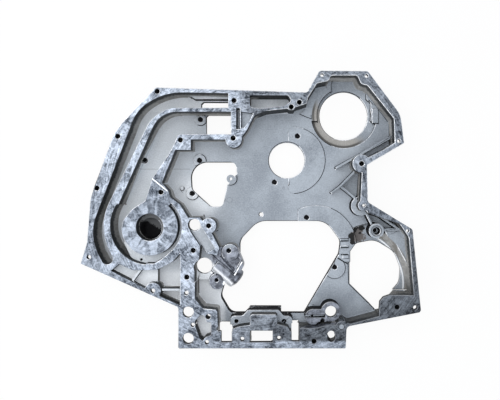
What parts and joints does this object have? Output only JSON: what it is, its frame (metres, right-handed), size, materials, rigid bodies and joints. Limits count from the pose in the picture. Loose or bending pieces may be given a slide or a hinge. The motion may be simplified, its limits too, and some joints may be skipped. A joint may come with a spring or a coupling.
{
  "type": "timing cover",
  "caption": "Cast aluminium engine timing gear housing with a sunken web, gear bores, curved coolant passages, a pump volute and a pan rail.",
  "frame": {"origin": "middle of the idler gear bore, on the plane of the rear rim that the cover lies on", "axes": "+Z out of the milled front face, along the gear shafts; +Y to the top of the engine; +X to the right as seen from the front"},
  "size_m": [0.7496, 0.612, 0.06],
  "materials": {
    "cast_aluminium": "matte as-cast web with milled bright faces"
  },
  "bodies": {
    "root": {"timing_cover": "cast_aluminium"}
  },
  "joints": []
}
